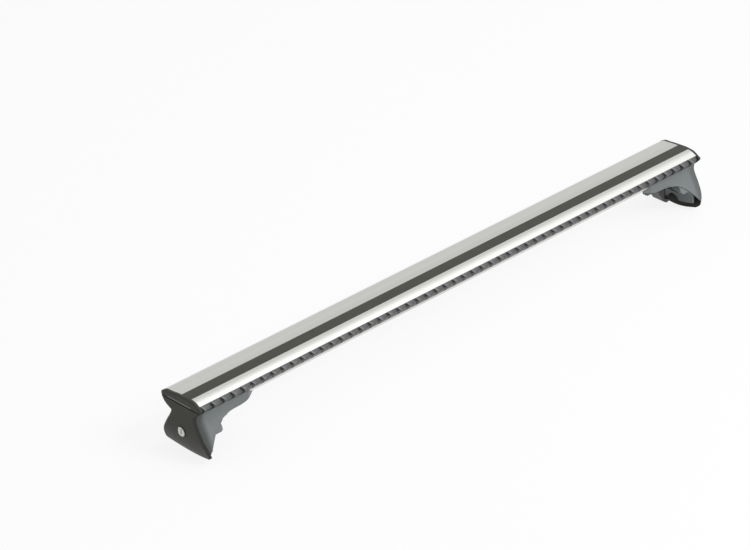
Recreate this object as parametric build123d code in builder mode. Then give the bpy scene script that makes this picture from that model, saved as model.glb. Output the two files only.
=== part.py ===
from build123d import *
import math
import os

# Roof rack crossbar: an aerofoil aluminium bar on two lockable feet that clamp round raised rails.
# Millimetres. X runs along the bar, Y from the ribbed leading edge (-Y) to the trailing edge,
# Z up. The origin is the middle of the footprint at the level of the feet's lowest edge.

# Bar
BAR_LENGTH = 1047.6
BAR_TOP = 95.6
BAR_BOTTOM = 64.0
NOSE_Y = -36.5
TAIL_Y = 44.0
BAR_WALL = 2.2
WEB = 2.0
WEB_Y = 21.5
FRONT_SOLID_Y = 20.5

# T-slot for load carriers, and the rubber strip that fills it
SLOT_Y = -4.0
SLOT_MOUTH = 20.4
SLOT_INSIDE = 28.0
SLOT_HEIGHT = 7.0
SLOT_LIP = 2.8
STRIP_GAP = 0.1
STRIP_TOP = 3.4
STRIP_LEG = 2.4

# Ribbed rubber on the leading edge
NOTCH_PITCH = 19.4
FIRST_NOTCH = 4.6
NOTCH_DEPTH = 2.4
STEP_RUN = 0.5
KEY_NECK = 5.0
KEY_HEAD = 8.0
KEY_DEPTH = 4.0
KEY_LAP = 0.5
RUBBER_GAP = 0.05

# End caps
CAP_REACH = 5.5
CAP_PROUD = 0.15
CAP_ROUND = 2.2
CAP_STEPS = 3
PLUG_DEPTH = 10.0
PLUG_GAP = 0.25

# Foot shell, lofted through levels of (height, half width)
FOOT_LEVELS = (
    (-3.0, 49.6),
    (8.0, 49.0),
    (16.0, 48.0),
    (26.0, 45.4),
    (38.0, 39.2),
    (50.0, 32.4),
    (59.0, 27.4),
    (66.0, 25.7),
    (78.0, 25.7),
)
FACE_R = 79.0
FACE_FLAT_Z = 45.0
FOOT_CORNER = 5.0
FOOT_LOFT_LENGTH = 150.0
CHEEK = 3.0
SKIRT_RISE = 5.6
SKIRT_CORNER_Y = 38.5
SKIRT_SIDE_Y = 48.6
SKIRT_SIDE_Z = 16.0
SKIRT_BEND = (45.55, 9.0)
WING_LENGTH = 114.0
WING_PLAN = ((40.0, 40.0), (50.0, 30.6), (70.0, 26.4), (100.0, 25.0), (110.4, 20.0))
DECK = 5.0
DECK_END = 109.0

# Lower rim of the shell from the side, as (distance from the bar's end, height)
RIM_LOW = 17.0
RIM = (
    (12.6, 28.7),
    (21.0, 38.0),
    (34.0, 48.4),
    (46.0, 53.6),
    (60.0, 55.4),
    (78.0, 56.8),
    (96.0, 59.6),
    (108.0, 62.4),
    (114.5, 66.5),
)

# Lockable door on the end face
DOOR = 3.5
SEAM = 0.3
DOOR_TOP = 72.0
BARREL_R = 2.3
BARREL_Z = 83.7
BARREL_FRONT_Y = -17.0
BARREL_REAR_Y = 30.0
BARREL_NECK = 2.0
PIN_R = 1.25
PIN_BITE = 3.0
RUNNING = 0.05
FIT = 0.02
TONGUE_EDGE = ((-21.0, 81.1), (-23.2, 76.9), (-27.0, 71.0))

# Rail gap and clamp
BLOCK_INNER = 38.0
BLOCK_OUTER = 12.0
BLOCK_ROUND = 5.0
ROOF_Z = 38.0
ROOF_FROM = 23.0
PAD = 3.0
PAD_HALF = 25.0
HOOK_CURVE = ((15.6, 3.0), (14.4, 15.5), (15.6, 28.0))
HOOK_OUT = 10.6
HOOK_HALF = 40.0
HOOK_SHOULDER = 8.0
HOOK_TRIM_Z = 9.0
HOOK_NOTCH_HALF = 14.0
HOOK_NOTCH_Z = 17.5
RAIL_IN = 10.4
RAIL_OUT = 20.0
RAIL_DROP = 6.0
RAIL_END = 99.0
JAW_FACE = 50.0
JAW_HALF = 12.5
JAW_GAP = 0.5
JAW_ROUND = 1.0
JAW_DEPTH = 20.0
JAW_OUTLINE = (
    (0.0, 27.0),
    (-7.0, 23.5),
    (-14.0, 21.5),
    (-15.0, 18.5),
    (-7.0, 16.5),
    (-1.0, 20.0),
    (4.0, 27.0),
    (16.0, 44.0),
    (JAW_DEPTH, 49.5),
)
JAW_PAD_LOW = 27.4
JAW_PAD_HIGH = 44.0
NECK_HALF = 10.0
NECK_LENGTH = 20.0

# Clamp bolt, M6
BOLT_Z = 52.5
BOLT_R = 3.0
BOLT_HOLE = 0.3
BOLT_LENGTH = 75.0
HEAD_R = 5.0
HEAD_H = 6.0
SOCKET_AF = 5.0
SOCKET_DEPTH = 3.5
WASHER_R = 6.0
WASHER_T = 1.6
NUT_AF = 10.0
NUT_T = 5.0
NUT_BEHIND = 12.0
NUT_GAP = 0.1
CLIP_R = 5.5
CLIP_T = 1.2
CLIP_GAP = 0.3

# Screws and plate that hold the foot to the bar, M5
SCREW_R = 2.5
SCREW_HOLE = 0.25
SCREW_HEAD_R = 4.25
SCREW_HEAD_H = 2.8
SCREW_SINK = 1.0
SCREW_SOCKET_AF = 3.0
SCREW_SOCKET_DEPTH = 1.6
SCREW_SPAN_Y = 30.4
SCREW_FROM = 50.0
SCREW_TO = 91.0
PLATE_T = 5.0
PLATE_MARGIN = 8.0
PLATE_GAP = 0.3

# Lock
LOCK_Y = 4.0
LOCK_Z = 36.7
LOCK_R = 9.3
LOCK_BODY_R = 8.4
LOCK_PROUD = 0.6
LOCK_SEAT = 3.2
LOCK_BACK = 6.0
PLUG_R = 7.5
PLUG_FRONT = 4.9
PLUG_BACK = 7.0
KEY_SLOT = (1.4, 8.4)
KEY_SLOT_DEPTH = 6.5
CAM_T = 2.0
CAM_ARM = 17.0
CAM_HUB_R = 6.0
CAM_TIP_R = 4.0
CAM_SCREW_R = 1.5
CAM_SCREW_HEAD_R = 2.8
CAM_SCREW_LENGTH = 6.0

# Catch on the foot body that the cam hooks behind
CATCH_TOP = 20.5
CATCH_H = 5.0
CATCH_T = 2.0
CATCH_GAP = 0.4
CATCH_FROM_Y = -8.0
CATCH_TO_Y = 14.0
CATCH_RIB = 6.5

HALF = BAR_LENGTH / 2
STRAIGHT = 1e-7
BAR_HEIGHT = BAR_TOP - BAR_BOTTOM
CHORD = TAIL_Y - NOSE_Y


def from_end(u):
    """X of a place that lies u inboard of the bar's left end."""
    return u - HALF


def plane_at(u):
    """Cross plane at a distance inboard of the bar's left end."""
    return Plane.YZ.offset(from_end(u))


def section_point(along, up):
    """A point of the bar's section, as shares of its chord and height."""
    return (NOSE_Y + along * CHORD, BAR_BOTTOM + up * BAR_HEIGHT)


NOSE_TOP = section_point(0.073, 0.826)
NOSE_BOTTOM = section_point(0.142, 0.272)
FLAT_FRONT = section_point(0.230, 0.0)
FLAT_REAR = section_point(0.690, 0.0)
TAIL = section_point(1.0, 0.690)
NOSE_TANGENTS = ((-0.86, -0.51), (0.70, -0.71))


def nose_points(depth):
    """Points of the leading edge from top to bottom, set in by a notch's depth."""
    front = section_point(0.0, 0.670)
    lower = section_point(0.034, 0.540)
    slant = depth * math.sqrt(0.5)
    return [
        NOSE_TOP,
        (front[0] + depth, front[1]),
        (lower[0] + slant, lower[1] + slant),
        NOSE_BOTTOM,
    ]


# Runs of the aerofoil outline, each with the directions at its ends
OUTLINE_RUNS = (
    (nose_points(0), NOSE_TANGENTS),
    ([NOSE_BOTTOM, section_point(0.182, 0.105), FLAT_FRONT], (NOSE_TANGENTS[1], (1, 0))),
    ([FLAT_FRONT, FLAT_REAR], ((1, 0), (1, 0))),
    ([FLAT_REAR, section_point(0.815, 0.108), section_point(0.950, 0.365), TAIL], ((1, 0), (0, 1))),
    (
        [
            TAIL,
            section_point(0.942, 0.826),
            section_point(0.750, 0.916),
            section_point(0.530, 0.975),
            section_point(0.330, 1.0),
            section_point(0.155, 0.936),
            NOSE_TOP,
        ],
        ((0, 1), NOSE_TANGENTS[0]),
    ),
)


def arc_stops(points, ends):
    """Ends and directions of the arcs, two to a span, that lead smoothly through points."""
    places = [Vector(*point) for point in points]
    ways = [Vector(*ends[0]).normalized()]
    for before, place, after in zip(places, places[1:], places[2:]):
        back, ahead = place - before, after - place
        ways.append((back * back.length**-2 + ahead * ahead.length**-2).normalized())
    ways.append(Vector(*ends[1]).normalized())
    stops = [(places[0], ways[0])]
    for end, way in zip(places[1:], ways[1:]):
        start, start_way = stops[-1]
        reach = end - start
        spread = 2 * (1 - start_way.dot(way))
        if spread > STRAIGHT:
            along = reach.dot(start_way + way)
            size = (math.sqrt(along**2 + spread * reach.dot(reach)) - along) / spread
            meet = (start + end + (start_way - way) * size) * 0.5
            stops.append((meet, (reach - (start_way + way) * size).normalized()))
        stops.append((end, way))
    return stops


def draw_arcs(stops, grow=0.0):
    """Edges of a chain of arcs, moved out by a distance along their normals."""
    moved = [point + Vector(way.Y, -way.X) * grow for point, way in stops]
    for start, end, (_, way), (_, end_way) in zip(moved, moved[1:], stops, stops[1:]):
        if 1 - way.dot(end_way) > STRAIGHT:
            TangentArc(start, end, tangent=way)
        else:
            Line(start, end)


OUTLINE_ARCS = [arc_stops(points, ends) for points, ends in OUTLINE_RUNS]


def aerofoil(grow):
    """Outline of the bar, grown by a distance along its normals."""
    with BuildSketch(Plane.YZ) as section:
        with BuildLine():
            for stops in OUTLINE_ARCS:
                draw_arcs(stops, grow)
        make_face()
    return section.sketch_local


outline = aerofoil(0)
cap_outline = aerofoil(CAP_PROUD)
cap_clearance = aerofoil(CAP_PROUD + SEAM / 2)

NOSE_MIDDLE = ((NOSE_TOP[0] + NOSE_BOTTOM[0]) / 2, (NOSE_TOP[1] + NOSE_BOTTOM[1]) / 2)
NOSE_SLOPE = math.degrees(math.atan2(NOSE_TOP[1] - NOSE_BOTTOM[1], NOSE_TOP[0] - NOSE_BOTTOM[0])) - 90


def behind_nose(distance):
    """Half plane, as a large square, that lies a distance behind the rubber's seat."""
    size = 2 * CHORD
    turn = math.radians(NOSE_SLOPE)
    middle = distance + size / 2
    place = (NOSE_MIDDLE[0] + middle * math.cos(turn), NOSE_MIDDLE[1] + middle * math.sin(turn))
    with BuildSketch(Plane.YZ) as half_plane:
        with Locations(place):
            Rectangle(size, size, rotation=NOSE_SLOPE)
    return half_plane.sketch_local


SLOT_FLOOR = BAR_TOP - SLOT_LIP - SLOT_HEIGHT
SLOT_BLOCK = 2 * (FRONT_SOLID_Y + SLOT_Y)
BLOCK_DEPTH = SLOT_LIP + SLOT_HEIGHT + BAR_WALL
STRIP_MIDDLE = SLOT_FLOOR + SLOT_HEIGHT / 2


def chamber_view(gap):
    """Hollow chambers of the extrusion, set in by a gap."""
    with BuildSketch(Plane.YZ) as chamber:
        add(aerofoil(-BAR_WALL - gap))
        with Locations((WEB_Y, BAR_BOTTOM)):
            Rectangle(WEB + 2 * gap, 2 * BAR_TOP, mode=Mode.SUBTRACT)
        with Locations((gap - FRONT_SOLID_Y - CHORD / 2, BAR_BOTTOM)):
            Rectangle(CHORD, 2 * BAR_TOP, mode=Mode.SUBTRACT)
        with Locations((SLOT_Y, BAR_TOP)):
            Rectangle(SLOT_BLOCK + 2 * gap, 2 * (BLOCK_DEPTH + gap), mode=Mode.SUBTRACT)
    return chamber.sketch_local


def key_sketch(gap):
    """Dovetail that holds the leading edge rubber, drawn at the rubber's seat."""
    turn = math.radians(NOSE_SLOPE)
    across = (-math.sin(turn), math.cos(turn))
    deep = (math.cos(turn), math.sin(turn))
    neck = KEY_NECK / 2 - gap
    head = KEY_HEAD / 2 - gap
    corners = []
    foot = KEY_DEPTH - gap
    for half, depth in ((neck, -KEY_LAP), (head, foot), (-head, foot), (-neck, -KEY_LAP)):
        y = NOSE_MIDDLE[0] + half * across[0] + depth * deep[0]
        z = NOSE_MIDDLE[1] + half * across[1] + depth * deep[1]
        corners.append((y, z))
    with BuildSketch(Plane.YZ) as key:
        with BuildLine():
            Polyline(*corners, close=True)
        make_face()
    return key.sketch_local


SCREWS = [(x, y) for x in (SCREW_FROM, SCREW_TO) for y in (-SCREW_SPAN_Y / 2, SCREW_SPAN_Y / 2)]
LEFT_SCREWS = [(from_end(u), y) for u, y in SCREWS]
ALL_SCREWS = LEFT_SCREWS + [(-x, y) for x, y in LEFT_SCREWS]

# Bar extrusion
with BuildPart() as bar:
    with BuildSketch(plane_at(0)):
        add(outline)
        add(behind_nose(0), mode=Mode.INTERSECT)
        add(chamber_view(0), mode=Mode.SUBTRACT)
        with Locations((SLOT_Y, SLOT_FLOOR + SLOT_HEIGHT / 2)):
            Rectangle(SLOT_INSIDE, SLOT_HEIGHT, mode=Mode.SUBTRACT)
        with Locations((SLOT_Y, BAR_TOP)):
            Rectangle(SLOT_MOUTH, 2 * (SLOT_LIP + SLOT_HEIGHT / 2), mode=Mode.SUBTRACT)
        add(key_sketch(0), mode=Mode.SUBTRACT)
    extrude(amount=BAR_LENGTH)
    with BuildSketch(Plane.XY.offset(BAR_BOTTOM)):
        with Locations(*ALL_SCREWS):
            Circle(SCREW_R + SCREW_HOLE)
    extrude(amount=BAR_WALL + 1, mode=Mode.SUBTRACT)
bar.part.label = "bar_extrusion"

# Rubber strip in the T-slot: a flush top, barbs under the lips and two legs on the slot's floor
with BuildPart() as slot_strip:
    with BuildSketch(plane_at(0)):
        add(outline)
        with Locations((SLOT_Y, BAR_TOP)):
            Rectangle(SLOT_MOUTH - 2 * STRIP_GAP, 2 * STRIP_TOP, mode=Mode.INTERSECT)
        leg_y = SLOT_MOUTH / 2 - STRIP_GAP - STRIP_LEG / 2
        with Locations((SLOT_Y - leg_y, STRIP_MIDDLE), (SLOT_Y + leg_y, STRIP_MIDDLE)):
            Rectangle(STRIP_LEG, SLOT_HEIGHT - 2 * STRIP_GAP)
    extrude(amount=BAR_LENGTH)
slot_strip.part.label = "slot_strip"

# Leading edge rubber: each rib starts full, tapers towards the next and ends in a steep step
with BuildPart() as nose_strip:
    for notch in range(-1, math.ceil((BAR_LENGTH - FIRST_NOTCH) / NOTCH_PITCH)):
        rib_u = FIRST_NOTCH + notch * NOTCH_PITCH
        for depth, u in ((0, rib_u), (NOTCH_DEPTH, rib_u + NOTCH_PITCH - STEP_RUN)):
            with BuildSketch(plane_at(u)):
                with BuildLine():
                    draw_arcs(arc_stops(nose_points(depth), NOSE_TANGENTS))
                    Line(NOSE_BOTTOM, NOSE_TOP)
                make_face()
    loft(ruled=True)
    with BuildSketch(plane_at(0)):
        Rectangle(4 * CHORD, 4 * CHORD)
    extrude(amount=BAR_LENGTH, mode=Mode.INTERSECT)
    with BuildSketch(plane_at(0)):
        add(key_sketch(RUBBER_GAP))
    extrude(amount=BAR_LENGTH)
nose_strip.part.label = "leading_edge_strip"


def face_u(z, inset=0.0):
    """How far inboard the foot's end face lies at a height, set in along its normal."""
    radius = FACE_R - inset
    below = max(FACE_FLAT_Z - z, 0.0)
    return inset - CAP_REACH + radius - math.sqrt(radius**2 - below**2)


def foot_volume(inset):
    """Outer form of the left foot, without its bottom edge, set in by a distance."""
    with BuildPart() as volume:
        for height, half_width in FOOT_LEVELS:
            with BuildSketch(Plane.XY.offset(height)):
                middle = from_end(face_u(height, inset)) + FOOT_LOFT_LENGTH / 2
                with Locations((middle, 0)):
                    RectangleRounded(FOOT_LOFT_LENGTH, 2 * (half_width - inset), FOOT_CORNER - inset)
        loft()
    return volume.part


def end_view(lift):
    """Everything above the skirt's bottom edge, seen from the end, lifted by a height."""
    low, side, corner = lift, SKIRT_SIDE_Z + lift, SKIRT_RISE + lift
    bend_y, bend_z = SKIRT_BEND[0], SKIRT_BEND[1] + lift
    wide, high = 2 * SKIRT_SIDE_Y, 2 * BAR_TOP
    with BuildSketch(Plane.YZ) as view:
        with BuildLine():
            ThreePointArc((-SKIRT_CORNER_Y, corner), (0, low), (SKIRT_CORNER_Y, corner))
            ThreePointArc((SKIRT_CORNER_Y, corner), (bend_y, bend_z), (SKIRT_SIDE_Y, side))
            Polyline((SKIRT_SIDE_Y, side), (wide, side), (wide, high), (-wide, high))
            Polyline((-wide, high), (-wide, side), (-SKIRT_SIDE_Y, side))
            ThreePointArc((-SKIRT_SIDE_Y, side), (-bend_y, bend_z), (-SKIRT_CORNER_Y, corner))
        make_face()
    return view.sketch_local


def plan_view(inset):
    """Outline of the foot from above, with the wing that runs in under the bar."""
    wide = 2 * SKIRT_SIDE_Y
    tip = (from_end(WING_LENGTH - inset), 0.0)
    side = [(from_end(u), half - inset) for u, half in WING_PLAN[:-1]]
    turn = (from_end(WING_PLAN[-1][0] - 0.8 * inset), WING_PLAN[-1][1] - 0.6 * inset)
    with BuildSketch(Plane.XY) as plan:
        with BuildLine():
            Spline(*side, turn, tip, tangents=((0.7, -0.7), (0, -1)))
            Polyline(side[0], (side[0][0], wide), (from_end(-wide), wide), (from_end(-wide), 0), tip)
        make_face()
        mirror(about=Plane.XZ)
    return plan.sketch_local


def seam_side(inset, z_low, z_high):
    """Edges of a side view along the end face, set in by a distance, between two heights."""
    middle = (z_low + FACE_FLAT_Z) / 2
    bend = (from_end(face_u(FACE_FLAT_Z, inset)), FACE_FLAT_Z)
    ThreePointArc((from_end(face_u(z_low, inset)), z_low), (from_end(face_u(middle, inset)), middle), bend)
    Line(bend, (bend[0], z_high))


BODY_INSET = DOOR + SEAM
LOFT_LOW = FOOT_LEVELS[0][0]
LOFT_TOP = FOOT_LEVELS[-1][0]
DECK_Z = BAR_BOTTOM - DECK
SCREW_SEAT = DECK_Z - SCREW_SINK
CORE_INSET = CHEEK / 2
TONGUE_BACK = DOOR - CAP_REACH
BARREL_U = BARREL_R - CAP_REACH
TROUGH_R = BARREL_R + SEAM

# Side view of the shell: the door's seam, the arch over the rail and the wing's lower edge
with BuildSketch(Plane.XZ) as side_view:
    with BuildLine():
        seam_side(BODY_INSET, RIM_LOW, LOFT_TOP)
        Spline((from_end(face_u(RIM_LOW, BODY_INSET)), RIM_LOW), *[(from_end(u), z) for u, z in RIM])
        Polyline(
            (from_end(RIM[-1][0]), RIM[-1][1]),
            (from_end(RIM[-1][0]), LOFT_TOP),
            (from_end(face_u(LOFT_TOP, BODY_INSET)), LOFT_TOP),
        )
    make_face()

# Side view of what lies between the cheeks: the deck, the bolt block and the outer hook
with BuildSketch(Plane.XZ) as core_view:
    hook = [(from_end(u), z) for u, z in HOOK_CURVE]
    with BuildLine():
        palm = ThreePointArc(*hook)
        TangentArc(hook[-1], (from_end(ROOF_FROM), ROOF_Z), tangent=palm % 1)
        Line((from_end(ROOF_FROM), ROOF_Z), (from_end(BLOCK_INNER - BLOCK_ROUND), ROOF_Z))
        corner = (from_end(BLOCK_INNER), ROOF_Z + BLOCK_ROUND)
        TangentArc((from_end(BLOCK_INNER - BLOCK_ROUND), ROOF_Z), corner, tangent=(1, 0))
        Polyline(
            corner,
            (from_end(BLOCK_INNER), DECK_Z),
            (from_end(DECK_END - DECK), DECK_Z),
            (from_end(DECK_END), BAR_BOTTOM),
            (from_end(DECK_END), LOFT_TOP),
            (from_end(-CAP_REACH), LOFT_TOP),
            (from_end(-CAP_REACH), DECK_Z),
            (from_end(BLOCK_OUTER), DECK_Z),
            (from_end(BLOCK_OUTER), ROOF_Z),
            (from_end(HOOK_OUT), ROOF_Z - HOOK_SHOULDER),
            (from_end(HOOK_OUT), hook[0][1]),
            hook[0],
        )
    make_face()

# What lies between the cheeks, with the notch in the hook's lower edge
with BuildPart() as foot_core:
    add(foot_volume(CORE_INSET))
    with BuildSketch(Plane.XZ):
        add(core_view.sketch_local)
    extrude(amount=2 * SKIRT_SIDE_Y, both=True, mode=Mode.INTERSECT)
    with BuildSketch(Plane.XZ):
        with BuildLine():
            seam_side(BODY_INSET, LOFT_LOW, LOFT_TOP)
            Polyline(
                (from_end(face_u(LOFT_TOP, BODY_INSET)), LOFT_TOP),
                (from_end(WING_LENGTH), LOFT_TOP),
                (from_end(WING_LENGTH), LOFT_LOW),
                (from_end(face_u(LOFT_LOW, BODY_INSET)), LOFT_LOW),
            )
        make_face()
    extrude(amount=2 * SKIRT_SIDE_Y, both=True, mode=Mode.INTERSECT)
    with BuildSketch(Plane.XY):
        add(plan_view(CORE_INSET))
    extrude(amount=2 * BAR_TOP, mode=Mode.INTERSECT)
    with BuildSketch(Plane.YZ):
        add(end_view(HOOK_TRIM_Z))
        Rectangle(2 * HOOK_HALF, 4 * BAR_TOP, mode=Mode.INTERSECT)
    extrude(amount=2 * HALF, both=True, mode=Mode.INTERSECT)
    with BuildSketch(Plane.YZ):
        Ellipse(HOOK_NOTCH_HALF, HOOK_NOTCH_Z)
    extrude(amount=2 * HALF, both=True, mode=Mode.SUBTRACT)

# Space inside the shell
with BuildPart() as foot_hollow:
    add(foot_volume(CHEEK))
    with BuildSketch(Plane.XY):
        add(plan_view(CHEEK))
    extrude(amount=2 * BAR_TOP, mode=Mode.INTERSECT)

CAM_U = PLUG_BACK
CATCH_U = CAM_U - CATCH_GAP - CATCH_T

# Foot body: cheeks, wing, deck, bolt block, outer hook, jaw rails and the lock's catch
with BuildPart() as foot_body:
    add(foot_volume(0))
    with BuildSketch(Plane.XZ):
        add(side_view.sketch_local)
    extrude(amount=2 * SKIRT_SIDE_Y, both=True, mode=Mode.INTERSECT)
    with BuildSketch(Plane.XY):
        add(plan_view(0))
    extrude(amount=2 * BAR_TOP, mode=Mode.INTERSECT)
    add(foot_hollow.part, mode=Mode.SUBTRACT)
    add(foot_core.part)
    with BuildSketch(Plane.XY.offset(DECK_Z - RAIL_DROP)):
        for rail_side in (-1, 1):
            with Locations((from_end((BLOCK_INNER + RAIL_END) / 2), rail_side * (RAIL_IN + RAIL_OUT) / 2)):
                Rectangle(RAIL_END - BLOCK_INNER, RAIL_OUT - RAIL_IN)
    extrude(amount=RAIL_DROP)
    with BuildSketch(plane_at(CATCH_U)):
        with Locations(((CATCH_FROM_Y + CATCH_TO_Y) / 2, CATCH_TOP - CATCH_H / 2)):
            Rectangle(CATCH_TO_Y - CATCH_FROM_Y, CATCH_H)
    extrude(amount=CATCH_T)
    with BuildSketch(plane_at(CATCH_U)):
        with Locations((CATCH_FROM_Y + CATCH_RIB / 2, CATCH_TOP - CATCH_H / 2)):
            Rectangle(CATCH_RIB, CATCH_H)
    extrude(amount=HOOK_OUT - CATCH_U + WEB)
    with BuildSketch(plane_at(-2 * CAP_REACH)):
        add(cap_clearance)
    extrude(amount=HALF, mode=Mode.SUBTRACT)
    with BuildSketch(Plane.XY.offset(BAR_TOP)):
        with Locations(*LEFT_SCREWS):
            Circle(SCREW_R + SCREW_HOLE)
    extrude(amount=-BAR_TOP, mode=Mode.SUBTRACT)
    with BuildSketch(Plane.XY.offset(SCREW_SEAT)):
        with Locations(*LEFT_SCREWS):
            Circle(SCREW_HEAD_R + SCREW_HOLE)
    extrude(amount=-SCREW_SEAT, mode=Mode.SUBTRACT)
    with BuildSketch(plane_at(0)):
        with Locations((0, BOLT_Z)):
            Circle(BOLT_R + BOLT_HOLE)
    extrude(amount=BLOCK_INNER + SEAM, mode=Mode.SUBTRACT)

# Form of the bar's closed end with its rounded rim, shared by the cap and the door's tongue
with BuildPart() as end_form:
    with BuildSketch(plane_at(0)):
        add(cap_outline)
    for step in range(CAP_STEPS + 1):
        turn = math.radians(90 * step / CAP_STEPS)
        with BuildSketch(plane_at(CAP_ROUND * (1 - math.sin(turn)) - CAP_REACH)):
            add(aerofoil(CAP_PROUD - CAP_ROUND * (1 - math.cos(turn))))
    loft(ruled=True)


def tongue_view(gap):
    """Part of the bar's end that the door's tongue covers, grown by a gap."""
    wide = 2 * CHORD
    with BuildSketch(Plane.YZ) as tongue:
        with BuildLine():
            front = TONGUE_EDGE[-1][0]
            Polyline(*TONGUE_EDGE, (front, 0), (wide, 0), (wide, TONGUE_EDGE[0][1]), close=True)
        make_face()
        if gap:
            offset(amount=gap, kind=Kind.INTERSECTION, mode=Mode.REPLACE)
    return tongue.sketch_local


# Planes of the hinge: across its axis at the barrel's front end
BARREL_LENGTH = BARREL_REAR_Y - BARREL_FRONT_Y
HINGE = Plane(origin=(from_end(BARREL_U), BARREL_FRONT_Y, BARREL_Z), x_dir=(1, 0, 0), z_dir=(0, 1, 0))

# End cap: the bar's end with its plugs, the seat of the door's tongue and the hinge's trough
with BuildPart() as end_cap:
    add(end_form.part)
    with BuildSketch(plane_at(TONGUE_BACK + SEAM)):
        add(tongue_view(SEAM))
    extrude(amount=-CAP_REACH, mode=Mode.SUBTRACT)
    with BuildSketch(HINGE.offset(-CHORD)):
        with Locations((-CAP_REACH, TROUGH_R / 2)):
            Rectangle(2 * CAP_REACH, TROUGH_R)
        Circle(BARREL_R, mode=Mode.SUBTRACT)
    extrude(amount=2 * CHORD, mode=Mode.SUBTRACT)
    with BuildSketch(HINGE.offset(-SEAM)):
        Circle(TROUGH_R)
    extrude(amount=BARREL_LENGTH + 2 * SEAM, mode=Mode.SUBTRACT)
    with BuildSketch(Plane.XY.offset(BARREL_Z)):
        with Locations((from_end(TONGUE_BACK + SEAM - CAP_REACH), (BARREL_FRONT_Y + BARREL_REAR_Y) / 2)):
            Rectangle(2 * CAP_REACH, BARREL_LENGTH + 2 * SEAM)
    extrude(amount=-TROUGH_R, mode=Mode.SUBTRACT)
    with BuildSketch(plane_at(0)):
        add(chamber_view(PLUG_GAP))
    extrude(amount=PLUG_DEPTH)
    with BuildSketch(HINGE.offset(-PIN_BITE)):
        Circle(PIN_R + FIT)
    extrude(amount=BARREL_LENGTH + 2 * PIN_BITE, mode=Mode.SUBTRACT)

# Hinge pin
with BuildPart() as hinge_pin:
    with BuildSketch(HINGE.offset(-PIN_BITE)):
        Circle(PIN_R)
    extrude(amount=BARREL_LENGTH + 2 * PIN_BITE)


# Door: the dark end face of the foot, with the tongue that closes the lower part of the bar's end
with BuildPart() as door_slab:
    add(foot_volume(0))
    with BuildSketch(Plane.XZ):
        with BuildLine():
            seam_side(DOOR, LOFT_LOW, DOOR_TOP)
            Polyline(
                (from_end(face_u(DOOR_TOP, DOOR)), DOOR_TOP),
                (from_end(-2 * CAP_REACH), DOOR_TOP),
                (from_end(-2 * CAP_REACH), LOFT_LOW),
                (from_end(face_u(LOFT_LOW, DOOR)), LOFT_LOW),
            )
        make_face()
    extrude(amount=2 * SKIRT_SIDE_Y, both=True, mode=Mode.INTERSECT)
    with BuildSketch(Plane.YZ):
        add(end_view(0))
    extrude(amount=2 * HALF, both=True, mode=Mode.INTERSECT)

with BuildPart() as end_door:
    add(end_form.part)
    with BuildSketch(plane_at(TONGUE_BACK)):
        add(tongue_view(0))
    extrude(amount=-CAP_REACH, mode=Mode.INTERSECT)
    add(door_slab.part)
    with BuildSketch(HINGE):
        Circle(BARREL_R)
        with Locations((0, BARREL_R / 2 + SEAM)):
            Rectangle(BARREL_NECK, BARREL_R + 2 * SEAM)
    extrude(amount=BARREL_LENGTH)
    with BuildSketch(HINGE):
        Circle(PIN_R + RUNNING)
    extrude(amount=BARREL_LENGTH, mode=Mode.SUBTRACT)
    with BuildSketch(plane_at(-LOCK_SEAT)):
        with Locations((LOCK_Y, LOCK_Z)):
            Circle(LOCK_R + FIT)
    extrude(amount=-CAP_REACH, mode=Mode.SUBTRACT)
    with BuildSketch(plane_at(-LOCK_SEAT)):
        with Locations((LOCK_Y, LOCK_Z)):
            Circle(LOCK_BODY_R + FIT)
    extrude(amount=BLOCK_OUTER, mode=Mode.SUBTRACT)

# Lock housing: a flange that follows the door's curve and a round body behind it
with BuildPart() as lock_housing:
    with BuildSketch(plane_at(-LOCK_SEAT)):
        with Locations((LOCK_Y, LOCK_Z)):
            Circle(LOCK_R)
    extrude(amount=-CAP_REACH)
    add(foot_volume(-LOCK_PROUD), mode=Mode.INTERSECT)
    with BuildSketch(plane_at(-LOCK_SEAT)):
        with Locations((LOCK_Y, LOCK_Z)):
            Circle(LOCK_BODY_R)
    extrude(amount=LOCK_BACK + LOCK_SEAT)
    with BuildSketch(plane_at(LOCK_BACK)):
        with Locations((LOCK_Y, LOCK_Z)):
            Circle(PLUG_R + RUNNING)
    extrude(amount=-LOCK_BACK - 2 * CAP_REACH, mode=Mode.SUBTRACT)

# Lock cylinder with its key slot
with BuildPart() as lock_cylinder:
    with BuildSketch(plane_at(-PLUG_FRONT)):
        with Locations((LOCK_Y, LOCK_Z)):
            Circle(PLUG_R)
    extrude(amount=PLUG_FRONT + PLUG_BACK)
    with BuildSketch(plane_at(-PLUG_FRONT)):
        with Locations((LOCK_Y, LOCK_Z)):
            Rectangle(*KEY_SLOT)
    extrude(amount=KEY_SLOT_DEPTH, mode=Mode.SUBTRACT)
    with BuildSketch(plane_at(PLUG_BACK)):
        with Locations((LOCK_Y, LOCK_Z)):
            Circle(CAM_SCREW_R + FIT)
    extrude(amount=CAM_T - CAM_SCREW_LENGTH, mode=Mode.SUBTRACT)

CAM_SINK = CAM_SCREW_HEAD_R - CAM_SCREW_R

# Lock cam, at rest turned to the side and clear of the catch
with BuildPart() as lock_cam:
    with BuildSketch(plane_at(CAM_U)):
        with Locations((LOCK_Y, LOCK_Z)):
            Circle(CAM_HUB_R)
        with Locations((LOCK_Y + CAM_ARM, LOCK_Z)):
            Circle(CAM_TIP_R)
        make_hull()
    extrude(amount=CAM_T)
    with Locations(plane_at(CAM_U + CAM_T) * Location((LOCK_Y, LOCK_Z, 0))):
        CounterSinkHole(CAM_SCREW_R + FIT, CAM_SCREW_HEAD_R + FIT, depth=2 * CAM_T, counter_sink_angle=90)

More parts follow.
